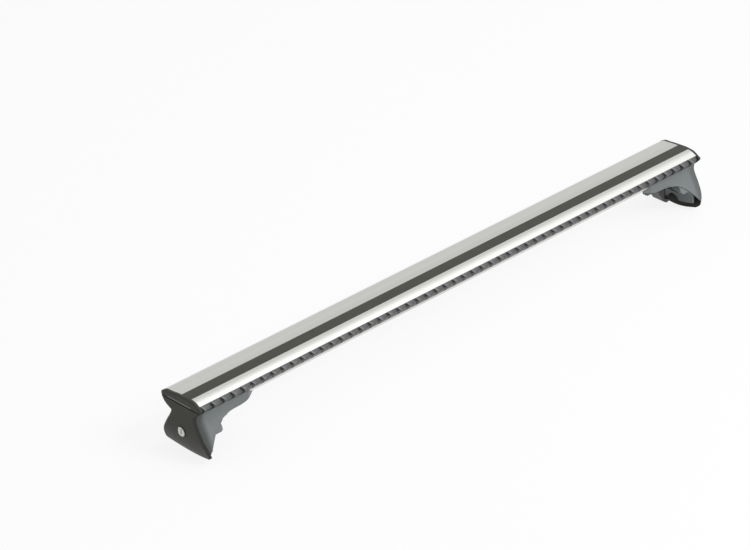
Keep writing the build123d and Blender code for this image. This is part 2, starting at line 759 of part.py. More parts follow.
# Countersunk screw that holds the cam
with BuildPart() as cam_screw:
    for screw_u, screw_r in ((CAM_U + CAM_T, CAM_SCREW_HEAD_R), (CAM_U + CAM_T - CAM_SINK, CAM_SCREW_R)):
        with BuildSketch(plane_at(screw_u)):
            with Locations((LOCK_Y, LOCK_Z)):
                Circle(screw_r)
    loft(ruled=True)
    with BuildSketch(plane_at(CAM_U + CAM_T - CAM_SINK)):
        with Locations((LOCK_Y, LOCK_Z)):
            Circle(CAM_SCREW_R)
    extrude(amount=CAM_SINK - CAM_SCREW_LENGTH)

HEAD_SEAT = BLOCK_OUTER - WASHER_T

# Clamp bolt with its socket head
with BuildPart() as clamp_bolt:
    with BuildSketch(plane_at(HEAD_SEAT)):
        with Locations((0, BOLT_Z)):
            Circle(HEAD_R)
    extrude(amount=-HEAD_H)
    with BuildSketch(plane_at(HEAD_SEAT)):
        with Locations((0, BOLT_Z)):
            Circle(BOLT_R)
    extrude(amount=BOLT_LENGTH)
    with BuildSketch(plane_at(HEAD_SEAT - HEAD_H)):
        with Locations((0, BOLT_Z)):
            RegularPolygon(SOCKET_AF / 2, 6, major_radius=False)
    extrude(amount=SOCKET_DEPTH, mode=Mode.SUBTRACT)

# Washer under the bolt's head
with BuildPart() as bolt_washer:
    with BuildSketch(plane_at(HEAD_SEAT)):
        with Locations((0, BOLT_Z)):
            Circle(WASHER_R)
            Circle(BOLT_R + BOLT_HOLE, mode=Mode.SUBTRACT)
    extrude(amount=WASHER_T)

# Ring that keeps the bolt in its block
with BuildPart() as bolt_clip:
    with BuildSketch(plane_at(BLOCK_INNER + CLIP_GAP)):
        with Locations((0, BOLT_Z)):
            Circle(CLIP_R)
            Circle(BOLT_R + FIT, mode=Mode.SUBTRACT)
    extrude(amount=CLIP_T)

JAW_TOP = DECK_Z - RAIL_DROP - JAW_GAP
NECK_TOP = DECK_Z - JAW_GAP

# Inner jaw with its toe under the rail and the neck that runs between the foot's rails
with BuildPart() as inner_jaw:
    with BuildSketch(Plane.XZ):
        with BuildLine():
            jaw = [(from_end(JAW_FACE + du), z) for du, z in JAW_OUTLINE]
            Polyline((jaw[0][0], JAW_TOP), *jaw, (jaw[-1][0], JAW_TOP), close=True)
        make_face()
    extrude(amount=JAW_HALF, both=True)
    chamfer(inner_jaw.faces().filter_by(Axis.Y).edges(), length=JAW_ROUND)
    with BuildSketch(Plane.XY.offset(NECK_TOP)):
        with Locations((from_end(JAW_FACE + NECK_LENGTH / 2), 0)):
            Rectangle(NECK_LENGTH, 2 * NECK_HALF)
    extrude(amount=JAW_TOP - NECK_TOP - JAW_ROUND)
    with BuildSketch(plane_at(JAW_FACE)):
        with Locations((0, BOLT_Z)):
            Circle(BOLT_R + BOLT_HOLE)
    extrude(amount=JAW_DEPTH, mode=Mode.SUBTRACT)
    with BuildSketch(plane_at(JAW_FACE + NUT_BEHIND)):
        with Locations((0, BOLT_Z)):
            RegularPolygon(NUT_AF / 2 + NUT_GAP, 6, major_radius=False)
    extrude(amount=JAW_DEPTH, mode=Mode.SUBTRACT)

# Nut captive in the jaw
with BuildPart() as jaw_nut:
    with BuildSketch(plane_at(JAW_FACE + NUT_BEHIND)):
        with Locations((0, BOLT_Z)):
            RegularPolygon(NUT_AF / 2, 6, major_radius=False)
            Circle(BOLT_R + RUNNING, mode=Mode.SUBTRACT)
    extrude(amount=NUT_T)

# Rubber pad on the jaw's face
with BuildPart() as jaw_pad:
    with BuildSketch(plane_at(JAW_FACE)):
        with Locations((0, (JAW_PAD_LOW + JAW_PAD_HIGH) / 2)):
            RectangleRounded(2 * (JAW_HALF - JAW_ROUND), JAW_PAD_HIGH - JAW_PAD_LOW, PAD)
    extrude(amount=-PAD)

# Rubber pad that lies on the vehicle's rail
with BuildPart() as saddle_pad:
    with BuildSketch(Plane.XY.offset(ROOF_Z)):
        with Locations((from_end((ROOF_FROM + BLOCK_INNER - BLOCK_ROUND) / 2), 0)):
            RectangleRounded(BLOCK_INNER - BLOCK_ROUND - ROOF_FROM, 2 * PAD_HALF, PAD)
    extrude(amount=-PAD)

PLATE_TOP = BAR_BOTTOM + BAR_WALL + PLATE_T

# Threaded plate on the bar's inner floor
with BuildPart() as fixing_plate:
    with BuildSketch(plane_at(SCREW_FROM - PLATE_MARGIN)):
        add(aerofoil(-BAR_WALL - FIT))
        with Locations((0, PLATE_TOP - PLATE_T / 2)):
            Rectangle(2 * WEB_Y - WEB - 2 * PLATE_GAP, PLATE_T, mode=Mode.INTERSECT)
    extrude(amount=SCREW_TO - SCREW_FROM + 2 * PLATE_MARGIN)
    with BuildSketch(Plane.XY.offset(BAR_TOP)):
        with Locations(*LEFT_SCREWS):
            Circle(SCREW_R + FIT)
    extrude(amount=-BAR_TOP, mode=Mode.SUBTRACT)

# Four screws up through the deck into the plate
with BuildPart() as fixing_screws:
    with BuildSketch(Plane.XY.offset(SCREW_SEAT)):
        with Locations(*LEFT_SCREWS):
            Circle(SCREW_HEAD_R)
    extrude(amount=-SCREW_HEAD_H)
    with BuildSketch(Plane.XY.offset(SCREW_SEAT)):
        with Locations(*LEFT_SCREWS):
            Circle(SCREW_R)
    extrude(amount=PLATE_TOP - SCREW_SEAT)
    with BuildSketch(Plane.XY.offset(SCREW_SEAT - SCREW_HEAD_H)):
        with Locations(*LEFT_SCREWS):
            RegularPolygon(SCREW_SOCKET_AF / 2, 6, major_radius=False)
    extrude(amount=SCREW_SOCKET_DEPTH, mode=Mode.SUBTRACT)

FOOT_PIECES = {
    "end_cap": end_cap,
    "foot_body": foot_body,
    "end_door": end_door,
    "hinge_pin": hinge_pin,
    "lock_housing": lock_housing,
    "lock_cylinder": lock_cylinder,
    "lock_cam": lock_cam,
    "cam_screw": cam_screw,
    "clamp_bolt": clamp_bolt,
    "bolt_washer": bolt_washer,
    "bolt_clip": bolt_clip,
    "jaw_nut": jaw_nut,
    "inner_jaw": inner_jaw,
    "jaw_pad": jaw_pad,
    "saddle_pad": saddle_pad,
    "fixing_screws": fixing_screws,
    "fixing_plate": fixing_plate,
}

os.makedirs("parts", exist_ok=True)
export_step(bar.part, "parts/bar_extrusion.step")
export_step(slot_strip.part, "parts/slot_strip.step")
export_step(nose_strip.part, "parts/leading_edge_strip.step")

# Each piece of the left foot, and its mirror image at the right end
for name, piece in FOOT_PIECES.items():
    piece.part.label = name + "_left"
    export_step(piece.part, "parts/" + name + "_left.step")
    with BuildPart() as right_piece:
        mirror(piece.part, about=Plane.YZ)
    right_piece.part.label = name + "_right"
    export_step(right_piece.part, "parts/" + name + "_right.step")
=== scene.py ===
import math

import bmesh
import bpy
from mathutils import Matrix, Vector
from mathutils.geometry import interpolate_bezier


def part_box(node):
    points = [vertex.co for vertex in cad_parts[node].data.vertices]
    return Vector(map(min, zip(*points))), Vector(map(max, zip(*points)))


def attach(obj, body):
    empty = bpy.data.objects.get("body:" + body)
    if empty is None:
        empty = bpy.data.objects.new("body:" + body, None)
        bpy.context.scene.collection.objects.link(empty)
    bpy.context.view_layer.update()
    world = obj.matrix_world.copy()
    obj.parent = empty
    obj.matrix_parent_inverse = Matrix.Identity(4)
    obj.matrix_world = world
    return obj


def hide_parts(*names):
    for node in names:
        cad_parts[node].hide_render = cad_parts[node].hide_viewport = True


# Roof rack crossbar. +X runs along the bar, -Y is the ribbed leading edge and +Z is up. The floor is the
# level of the feet's lowest edge. Lengths are in metres where no comment gives another unit.

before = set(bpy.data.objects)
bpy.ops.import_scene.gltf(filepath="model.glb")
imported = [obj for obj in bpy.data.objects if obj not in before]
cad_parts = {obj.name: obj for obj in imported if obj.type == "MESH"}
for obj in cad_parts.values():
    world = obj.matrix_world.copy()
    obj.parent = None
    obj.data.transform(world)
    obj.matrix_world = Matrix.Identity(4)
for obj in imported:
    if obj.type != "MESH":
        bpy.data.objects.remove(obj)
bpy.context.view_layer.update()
SIDES = {"left": -1, "right": 1}
MILLIMETRE = 0.001
MICROMETRE = 0.000001

# Camera of the photograph
PHOTO_WIDTH = 750
FOCAL_PIXELS = 4030.971
SENSOR = 36.0
CLIP_END = 100.0
EYE = (-3.7214, -3.5782, 3.0419)
CAMERA_RIGHT = (0.70764, -0.70657, 0.0)
CAMERA_UP = (0.35194, 0.35247, 0.86712)
CAMERA_BACK = (-0.61269, -0.61361, 0.49809)

# Ribbed leading edge, in millimetres: the bar's half length, the notches' places and the points of the
# section from top to bottom, as (Y, Z)
BAR_HALF = 523.8
FIRST_NOTCH = 4.6
NOTCH_PITCH = 19.4
NOTCH_SLANT = 11.0
RIB_TOP = (-30.62, 90.10)
RIB_FRONT = (-36.5, 85.17)
RIB_LOWER = (-33.76, 81.06)
RIB_BOTTOM = (-25.07, 72.60)
RIB_HEIGHT = RIB_TOP[1] - RIB_BOTTOM[1]
RIB_MIDDLE = (RIB_TOP[1] + RIB_BOTTOM[1]) / 2
# Directions in which the section leaves its top and reaches its bottom
RIB_DIRECTIONS = ((-0.86, -0.51), (0.70, -0.71))
RIB_STEPS = 6
# Ribs past the ends, which the cuts take off, and the least angle of an edge that stays sharp, in degrees
SPARE_RIBS = 2
SHARP_ANGLE = 50.0
# Depth of the surface along one rib, as (share of the pitch, depth in millimetres)
RIB_RINGS = (
    (0.0, 3.6),
    (0.04, 2.6),
    (0.08, 1.2),
    (0.11, 0.4),
    (0.14, 0.08),
    (0.18, 0.0),
    (0.26, 0.05),
    (0.36, 0.25),
    (0.46, 0.6),
    (0.56, 1.0),
    (0.66, 1.5),
    (0.76, 2.0),
    (0.84, 2.5),
    (0.9, 3.2),
    (0.94, 3.6),
    (1.0, 3.6),
)
# Painted shade in the notches and a painted highlight where each rib starts, as (share of the pitch, level)
RIB_PAINTED_LIGHT = (
    (0.0, 0.06),
    (0.07, 0.1),
    (0.13, 1.3),
    (0.25, 1.0),
    (0.4, 0.7),
    (0.82, 0.6),
    (0.89, 0.1),
)

# Tones between which most colours and all roughnesses change
TONE_LOW = 0.3
TONE_HIGH = 0.7
# Softened edges of moulded pieces
EDGE_RADIUS = 0.4 * MILLIMETRE
EDGE_SAMPLES = 8
# Where the feet's corners start and end to round, in millimetres from the bar's middle, and how far they lean
CORNER_FROM = 508.0
CORNER_TO = 523.0
CORNER_LEAN = 1.6
# Box of the bolt blocks, in millimetres, as half widths in X and Y and a height, and the level of the painted
# shade on them
BLOCK_LIMITS = (500.0, 17.5, 62.0)
BLOCK_SHADE_LEVEL = 0.4
# Scale of the extrusion's lines in X, Y and Z, and of the zinc's spangle
LINE_STRETCH = (0.004, 1.0, 1.0)
SPANGLE_SCALE = 700.0
# Bands that a wave texture has in each unit of its scaled coordinate
WAVE_BANDS = 20 / (2 * math.pi)
THREAD_PITCH = 1.0 * MILLIMETRE
ROAD_DUST = (0.24, 0.22, 0.19)
JAW_DUST = (0.16, 0.14, 0.11)

# Knurl on the clamp bolts' heads: thin ridges of a few sides round the head
HEAD_LENGTH = 6 * MILLIMETRE
KNURL_COUNT = 40
KNURL_SIDES = 6
KNURL_RIDGE = 0.12 * MILLIMETRE
KNURL_MARGIN = 0.7 * MILLIMETRE

# Pale strip over each hinge's barrel, which paints the highlight along the top of each door, in millimetres:
# the barrel's radius, its axis out from the bar's end and up from the floor, and its ends in Y. The arc is in
# degrees from the outermost line upwards.
BARREL_RADIUS = 2.3
BARREL_OUT = 3.2
BARREL_LEVEL = 83.7
BARREL_SPAN = (-17.0, 30.0)
HIGHLIGHT_STRIP_GAP = 0.01
HIGHLIGHT_STRIP_THICKNESS = 0.14
HIGHLIGHT_STRIP_ARC = 50.0
HIGHLIGHT_STRIP_STEPS = 8

# Floor and surroundings: white where they are seen (1 is white) and greyer where they light the object
FLOOR_SIZE = 30.0
FLOOR_WHITE = 0.93
FLOOR_BOUNCE = 0.5
FLOOR_GLOW = 0.85
FLOOR_ROUGHNESS = 0.9
FLOOR_SPECULAR = 0.1
WORLD_SEEN = 1.0
WORLD_REFLECTED = 0.72
WORLD_LIGHT = 0.55
WHITE = (1.0, 1.0, 1.0, 1.0)
# Lamps, as (name, place, the point that it faces, size, power in watts)
SOFTBOXES = (
    ("key", (0.9, -2.4, 2.6), (0.0, 0.0, 0.05), 1.6, 60.0),
    ("slope", (2.4, -0.4, 4.4), (0.0, 0.0, 0.08), 3.8, 31.0),
)


# Nodes that shader groups and finishes share


def feed(tree, value, entry):
    """Link a socket to an input, or set the input to a plain value."""
    if isinstance(value, bpy.types.NodeSocket):
        tree.links.new(value, entry)
    else:
        entry.default_value = value


def calculate(tree, operation, *values):
    """Math node on sockets or numbers, which returns its result."""
    node = tree.nodes.new("ShaderNodeMath")
    node.operation = operation
    for value, entry in zip(values, node.inputs):
        feed(tree, value, entry)
    return node.outputs[0]


def split_place(tree, place):
    """The three coordinates of a place, by the names X, Y and Z."""
    split = tree.nodes.new("ShaderNodeSeparateXYZ")
    tree.links.new(place, split.inputs[0])
    return split.outputs


def noise(tree, place, scale, detail, roughness):
    """Value of a noise texture. Its scale is a number or a socket."""
    node = tree.nodes.new("ShaderNodeTexNoise")
    feed(tree, scale, node.inputs["Scale"])
    node.inputs["Detail"].default_value = detail
    node.inputs["Roughness"].default_value = roughness
    tree.links.new(place, node.inputs["Vector"])
    return node.outputs[0]


def colour_ramp(tree, tone, stops, interpolation="LINEAR"):
    """Colour that a tone picks from a ramp of stops, each a position and a colour."""
    ramp = tree.nodes.new("ShaderNodeValToRGB")
    elements = ramp.color_ramp.elements
    ramp.color_ramp.interpolation = interpolation
    while len(elements) < len(stops):
        elements.new(0.5)
    for element, (position, colour) in zip(elements, stops):
        element.position = position
        element.color = (*colour, 1)
    tree.links.new(tone, ramp.inputs["Fac"])
    return ramp.outputs["Color"]


# Shader groups that several finishes share


def new_group(name, inputs, outputs):
    """Empty shader group with float inputs (name, value), its two ends and the place on the object."""
    group = bpy.data.node_groups.new(name, "ShaderNodeTree")
    for label, value in inputs:
        socket = group.interface.new_socket(name=label, in_out="INPUT", socket_type="NodeSocketFloat")
        socket.default_value = value
    for label in outputs:
        group.interface.new_socket(name=label, in_out="OUTPUT", socket_type="NodeSocketFloat")
    start = group.nodes.new("NodeGroupInput").outputs
    end = group.nodes.new("NodeGroupOutput").inputs
    place = group.nodes.new("ShaderNodeTexCoord").outputs["Object"]
    return group, start, end, place


def build_moulded_grain():
    """Spark-eroded grain of moulded plastic and rubber: a height and a slow change of tone."""
    inputs = (("Grain Scale", 1800.0), ("Patch Scale", 25.0))
    group, start, end, place = new_group("moulded_grain", inputs, ("Height", "Tone"))
    grain = noise(group, place, scale=start["Grain Scale"], detail=3.0, roughness=0.6)
    patches = noise(group, place, scale=start["Patch Scale"], detail=4.0, roughness=0.6)
    group.links.new(grain, end["Height"])
    group.links.new(patches, end["Tone"])
    return group


def build_drawn_lines():
    """Fine lines that extrusion leaves along X: a height and a tone."""
    group, start, end, place = new_group("drawn_lines", [("Line Scale", 900.0)], ("Height", "Tone"))
    stretch = group.nodes.new("ShaderNodeMapping")
    stretch.inputs["Scale"].default_value = LINE_STRETCH
    group.links.new(place, stretch.inputs["Vector"])
    stretched = stretch.outputs[0]
    lines = noise(group, stretched, scale=start["Line Scale"], detail=3.0, roughness=0.65)
    bands = noise(group, stretched, scale=110.0, detail=2.0, roughness=0.5)
    group.links.new(lines, end["Height"])
    group.links.new(bands, end["Tone"])
    return group


def build_low_dust():
    """Mask of road dust: strongest at the floor, broken by noise, and none above its reach."""
    inputs = (("Reach", 0.03), ("Strength", 0.3))
    group, start, end, place = new_group("low_dust", inputs, ["Mask"])
    height = calculate(group, "DIVIDE", split_place(group, place)["Z"], start["Reach"])
    fade = group.nodes.new("ShaderNodeClamp")
    group.links.new(calculate(group, "SUBTRACT", 1.0, height), fade.inputs["Value"])
    blotches = noise(group, place, scale=160.0, detail=5.0, roughness=0.7)
    broken = calculate(group, "MULTIPLY", fade.outputs[0], blotches)
    group.links.new(calculate(group, "MULTIPLY", broken, start["Strength"]), end["Mask"])
    return group


MOULDED_GRAIN = build_moulded_grain()
DRAWN_LINES = build_drawn_lines()
LOW_DUST = build_low_dust()


# Finishes. Colours are linear, and the depth of a bump is in micrometres.


class Finish:
    """A material with a Principled shader, to which a finish adds its own nodes."""

    def __init__(self, name, roughness, metallic=0.0, coat=0.0, specular=0.5):
        self.material = bpy.data.materials.new(name)
        self.material.use_nodes = True
        self.tree = self.material.node_tree
        self.shader = self.tree.nodes["Principled BSDF"]
        self.shader.inputs["Roughness"].default_value = roughness
        self.shader.inputs["Metallic"].default_value = metallic
        self.shader.inputs["Coat Weight"].default_value = coat
        self.shader.inputs["Specular IOR Level"].default_value = specular
        self.place = self.tree.nodes.new("ShaderNodeTexCoord").outputs["Object"]

    def shared(self, group, **values):
        """Results of a shared group with its own input values, where an underscore stands for a space."""
        node = self.tree.nodes.new("ShaderNodeGroup")
        node.node_tree = group
        for label, value in values.items():
            node.inputs[label.replace("_", " ")].default_value = value
        return node.outputs

    def paint(self, colour):
        """Give the shader its base colour, which a later layer changes."""
        self.colour = colour
        self.tree.links.new(colour, self.shader.inputs["Base Color"])

    def tint(self, tone, dark, light, low=TONE_LOW, high=TONE_HIGH):
        """Base colour between two colours, driven by a tone."""
        self.paint(colour_ramp(self.tree, tone, ((low, dark), (high, light))))

    def layer(self, blend, share, colour):
        """Blend a colour over the base colour, by a share of 0 to 1."""
        mix = self.tree.nodes.new("ShaderNodeMix")
        mix.data_type = "RGBA"
        mix.blend_type = blend
        feed(self.tree, share, mix.inputs["Factor"])
        feed(self.tree, self.colour, mix.inputs["A"])
        feed(self.tree, colour, mix.inputs["B"])
        self.paint(mix.outputs["Result"])

    def spread(self, tone, low, high):
        """Roughness that varies between two values with a tone."""
        band = self.tree.nodes.new("ShaderNodeMapRange")
        band.inputs["From Min"].default_value = TONE_LOW
        band.inputs["From Max"].default_value = TONE_HIGH
        band.inputs["To Min"].default_value = low
        band.inputs["To Max"].default_value = high
        self.tree.links.new(tone, band.inputs["Value"])
        self.tree.links.new(band.outputs[0], self.shader.inputs["Roughness"])

    def soft_edges(self):
        """Normal that turns gently over sharp edges."""
        soft = self.tree.nodes.new("ShaderNodeBevel")
        soft.samples = EDGE_SAMPLES
        soft.inputs["Radius"].default_value = EDGE_RADIUS
        return soft.outputs[0]

    def round_corners(self):
        """Normal that leans outwards along X near the doors, as on a well rounded corner."""
        tree = self.tree
        along = split_place(tree, self.place)["X"]
        lean = tree.nodes.new("ShaderNodeMapRange")
        lean.interpolation_type = "SMOOTHSTEP"
        lean.inputs["From Min"].default_value = CORNER_FROM * MILLIMETRE
        lean.inputs["From Max"].default_value = CORNER_TO * MILLIMETRE
        lean.inputs["To Max"].default_value = CORNER_LEAN
        tree.links.new(calculate(tree, "ABSOLUTE", along), lean.inputs["Value"])
        outwards = tree.nodes.new("ShaderNodeCombineXYZ")
        side = calculate(tree, "SIGN", along)
        tree.links.new(calculate(tree, "MULTIPLY", side, lean.outputs[0]), outwards.inputs["X"])
        total = tree.nodes.new("ShaderNodeVectorMath")
        tree.links.new(tree.nodes.new("ShaderNodeNewGeometry").outputs["Normal"], total.inputs[0])
        tree.links.new(outwards.outputs[0], total.inputs[1])
        unit = tree.nodes.new("ShaderNodeVectorMath")
        unit.operation = "NORMALIZE"
        tree.links.new(total.outputs[0], unit.inputs[0])
        return unit.outputs[0]

    def bump(self, height, depth, over=None):
        """Bump of a real depth in micrometres, over another normal where one is given."""
        node = self.tree.nodes.new("ShaderNodeBump")
        node.inputs["Strength"].default_value = 1.0
        node.inputs["Distance"].default_value = depth * MICROMETRE
        self.tree.links.new(height, node.inputs["Height"])
        if over:
            self.tree.links.new(over, node.inputs["Normal"])
        self.tree.links.new(node.outputs[0], self.shader.inputs["Normal"])

    def paint_block_shade(self):
        """Painted shade: a darker tone on the bolt block between the cheeks, where shade falls."""
        place = split_place(self.tree, self.place)
        inside = 1.0
        for axis, limit in zip("XYZ", BLOCK_LIMITS):
            distance = calculate(self.tree, "ABSOLUTE", place[axis])
            within = calculate(self.tree, "LESS_THAN", distance, limit * MILLIMETRE)
            inside = calculate(self.tree, "MULTIPLY", within, inside)
        # Painted shade: the tone inside the box is multiplied down to the shade level
        self.layer("MULTIPLY", 1.0, calculate(self.tree, "MULTIPLY_ADD", inside, BLOCK_SHADE_LEVEL - 1.0, 1.0))

    def dust(self, colour, **values):
        """Lay dust of a colour over the base colour near the floor."""
        self.layer("MIX", self.shared(LOW_DUST, **values)["Mask"], (*colour, 1))


def anodised_aluminium():
    """Satin extrusion with faint lines along the bar."""
    finish = Finish("anodised_aluminium", roughness=0.42, metallic=1.0)
    lines = finish.shared(DRAWN_LINES, Line_Scale=1400.0)
    finish.tint(lines["Tone"], dark=(0.71, 0.715, 0.685), light=(0.77, 0.775, 0.745))
    finish.spread(lines["Tone"], low=0.38, high=0.46)
    finish.bump(lines["Height"], depth=4)
    return finish


def slot_rubber():
    """Dark olive rubber of the strip in the slot, slightly mottled."""
    finish = Finish("slot_rubber", roughness=0.6, specular=0.3)
    grain = finish.shared(MOULDED_GRAIN, Grain_Scale=1500.0, Patch_Scale=90.0)
    finish.tint(grain["Tone"], dark=(0.050, 0.052, 0.041), light=(0.072, 0.074, 0.060))
    finish.spread(grain["Tone"], low=0.55, high=0.7)
    finish.bump(grain["Height"], depth=30)
    return finish


def place_on_rib(tree, place):
    """Share of the pitch at which a place lies on its slanted rib, from 0 at the notch's middle to 1."""
    place = split_place(tree, place)
    slanted = calculate(tree, "MULTIPLY_ADD", place["Z"], NOTCH_SLANT / RIB_HEIGHT, place["X"])
    start = FIRST_NOTCH - BAR_HALF + NOTCH_SLANT * RIB_MIDDLE / RIB_HEIGHT
    distance = calculate(tree, "SUBTRACT", slanted, start * MILLIMETRE)
    ribs = calculate(tree, "DIVIDE", distance, NOTCH_PITCH * MILLIMETRE)
    return calculate(tree, "FRACT", calculate(tree, "ADD", ribs, 1.0))


def edge_rubber():
    """Grey rubber of the ribbed leading edge, with a painted highlight where a rib starts and painted shade
    in the notches.
    """
    finish = Finish("edge_rubber", roughness=0.42)
    grain = finish.shared(MOULDED_GRAIN, Grain_Scale=1300.0, Patch_Scale=60.0)
    finish.tint(grain["Tone"], dark=(0.115, 0.118, 0.118), light=(0.165, 0.168, 0.168))
    finish.spread(grain["Tone"], low=0.38, high=0.5)
    finish.bump(grain["Height"], depth=20)
    # Painted shade in the notches and a painted highlight where each rib starts, multiplied over the rubber
    greys = [(position, (level, level, level)) for position, level in RIB_PAINTED_LIGHT]
    painted_rib_light = colour_ramp(finish.tree, place_on_rib(finish.tree, finish.place), greys, "EASE")
    finish.layer("MULTIPLY", 1.0, painted_rib_light)
    return finish


def plastic(name, dark, light, roughness, depth, rounded=False):
    """Moulded plastic between two tones, with a range of roughness and softened edges or rounded corners."""
    finish = Finish(name, roughness=roughness[0], specular=0.3)
    grain = finish.shared(MOULDED_GRAIN, Grain_Scale=1900.0, Patch_Scale=22.0)
    finish.tint(grain["Tone"], dark, light)
    finish.spread(grain["Tone"], *roughness)
    finish.bump(grain["Height"], depth, over=finish.round_corners() if rounded else finish.soft_edges())
    return finish


def cap_plastic():
    """Near black plastic of the end caps and the lock's ring."""
    dark, light = (0.034, 0.034, 0.028), (0.046, 0.046, 0.038)
    return plastic("cap_plastic", dark, light, roughness=(0.42, 0.52), depth=10)


def door_plastic():
    """Near black plastic of the doors, a little warmer than the caps."""
    dark, light = (0.034, 0.033, 0.027), (0.046, 0.044, 0.036)
    return plastic("door_plastic", dark, light, roughness=(0.42, 0.52), depth=10)


def foot_plastic():
    """Grey plastic of the feet, with painted shade on the bolt block, and dusty low down."""
    dark, light = (0.202, 0.219, 0.223), (0.228, 0.247, 0.251)
    finish = plastic("foot_plastic", dark, light, roughness=(0.4, 0.5), depth=15, rounded=True)
    finish.paint_block_shade()
    finish.dust(ROAD_DUST, Reach=0.02, Strength=0.25)
    return finish


def pad_rubber():
    """Black matt rubber of the pads."""
    dark, light = (0.016, 0.016, 0.016), (0.03, 0.03, 0.029)
    return plastic("pad_rubber", dark, light, roughness=(0.65, 0.8), depth=50)


def highlight_strip_satin():
    """Pale satin strip over the hinge's barrel: a painted highlight along the top of the door."""
    dark, light = (0.30, 0.30, 0.28), (0.36, 0.36, 0.34)
    return plastic("highlight_strip_satin", dark, light, roughness=(0.3, 0.4), depth=10)


def jaw_casting():
    """Black coated casting of the jaw."""
    finish = Finish("jaw_casting", roughness=0.5, coat=0.1)
    grain = finish.shared(MOULDED_GRAIN, Grain_Scale=900.0, Patch_Scale=70.0)
    finish.tint(grain["Tone"], dark=(0.018, 0.018, 0.018), light=(0.035, 0.034, 0.033))
    finish.bump(grain["Height"], depth=60)
    finish.dust(JAW_DUST, Reach=0.03, Strength=0.3)
    return finish


def zinc_steel():
    """Bright zinc plating with a faint spangle."""
    finish = Finish("zinc_steel", roughness=0.3, metallic=1.0)
    cells = finish.tree.nodes.new("ShaderNodeTexVoronoi")
    cells.inputs["Scale"].default_value = SPANGLE_SCALE
    finish.tree.links.new(finish.place, cells.inputs["Vector"])
    spangle = cells.outputs["Distance"]
    finish.tint(spangle, dark=(0.50, 0.51, 0.52), light=(0.62, 0.63, 0.63), low=0.1, high=0.8)
    finish.spread(spangle, low=0.25, high=0.4)
    return finish


def threaded_steel():
    """Zinc plating with rings of the thread's pitch along the bolt, and painted shade in the thread's
    grooves.
    """
    finish = Finish("threaded_steel", roughness=0.32, metallic=1.0)
    wave = finish.tree.nodes.new("ShaderNodeTexWave")
    wave.wave_profile = "TRI"
    wave.bands_direction = "X"
    wave.inputs["Scale"].default_value = 1 / (WAVE_BANDS * THREAD_PITCH)
    finish.tree.links.new(finish.place, wave.inputs["Vector"])
    rings = wave.outputs["Fac"]
    # Painted shade: the grooves, where the bump is low, are darker than the crests
    finish.tint(rings, dark=(0.30, 0.30, 0.31), light=(0.62, 0.63, 0.63), low=0.1, high=0.8)
    finish.bump(rings, depth=400)
    return finish


def turned_lock_metal():
    """Satin nickel of the lock's face, with a very fine grain."""
    finish = Finish("turned_lock_metal", roughness=0.34, metallic=0.85)
    spots = noise(finish.tree, finish.place, scale=1500.0, detail=3.0, roughness=0.6)
    finish.tint(spots, dark=(0.52, 0.52, 0.50), light=(0.68, 0.68, 0.66))
    finish.spread(spots, low=0.3, high=0.42)
    finish.bump(spots, depth=10)
    return finish


FINISHES = {
    "bar_extrusion": anodised_aluminium(),
    "slot_strip": slot_rubber(),
    "leading_edge_strip": edge_rubber(),
    "end_cap": cap_plastic(),
    "foot_body": foot_plastic(),
    "end_door": door_plastic(),
    "lock_cylinder": turned_lock_metal(),
    "inner_jaw": jaw_casting(),
    "pads": pad_rubber(),
    "clamp_bolt": threaded_steel(),
    "steel": zinc_steel(),
    "sleeve": highlight_strip_satin(),
}
SAME_FINISH = {
    "lock_housing": "end_cap",
    "jaw_pad": "pads",
    "saddle_pad": "pads",
    "hinge_pin": "steel",
    "lock_cam": "steel",
    "cam_screw": "steel",
    "bolt_washer": "steel",
    "bolt_clip": "steel",
    "jaw_nut": "steel",
    "fixing_screws": "steel",
    "fixing_plate": "steel",
}


def material_of(piece):
    """Material of a piece, by its name without its side."""
    return FINISHES[SAME_FINISH.get(piece, piece)].material


def dress_nodes():
    """Give every CAD node its finish."""
    for name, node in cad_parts.items():
        piece = name.removesuffix("_left").removesuffix("_right")
        for material_slot in node.material_slots:
            material_slot.material = material_of(piece)


dress_nodes()


# Ways to make pieces


def add_object(name, data):
    """New object in the scene."""
    added = bpy.data.objects.new(name, data)
    bpy.context.collection.objects.link(added)
    return added


def new_piece(name, vertices, faces):
    """Mesh piece from points in millimetres."""
    mesh = bpy.data.meshes.new(name)
    mesh.from_pydata([tuple(value * MILLIMETRE for value in vertex) for vertex in vertices], [], faces)
    return add_object(name, mesh)


def turn_outwards(shape, mesh):
    """Turn a closed shape's faces outwards and write it to its mesh."""
    bmesh.ops.recalc_face_normals(shape, faces=shape.faces[:])
    shape.to_mesh(mesh)
    shape.free()


def new_shape_tree(name, inputs):
    """Empty Geometry Nodes tree with inputs (name, kind) and one geometry output."""
    tree = bpy.data.node_groups.new(name, "GeometryNodeTree")
    for label, kind in inputs:
        tree.interface.new_socket(name=label, in_out="INPUT", socket_type=kind)
    tree.interface.new_socket(name="Geometry", in_out="OUTPUT", socket_type="NodeSocketGeometry")
    return tree, tree.nodes.new("NodeGroupInput").outputs, tree.nodes.new("NodeGroupOutput").inputs


def copies_on_points(tree, points, original, material, result):
    """Real copies of a shape on points, with their material, as a tree's result."""
    spread = tree.nodes.new("GeometryNodeInstanceOnPoints")
    tree.links.new(points, spread.inputs["Points"])
    tree.links.new(original, spread.inputs["Instance"])
    real = tree.nodes.new("GeometryNodeRealizeInstances")
    tree.links.new(spread.outputs[0], real.inputs[0])
    finish = tree.nodes.new("GeometryNodeSetMaterial")
    tree.links.new(real.outputs[0], finish.inputs["Geometry"])
    tree.links.new(material, finish.inputs["Material"])
    tree.links.new(finish.outputs[0], result)


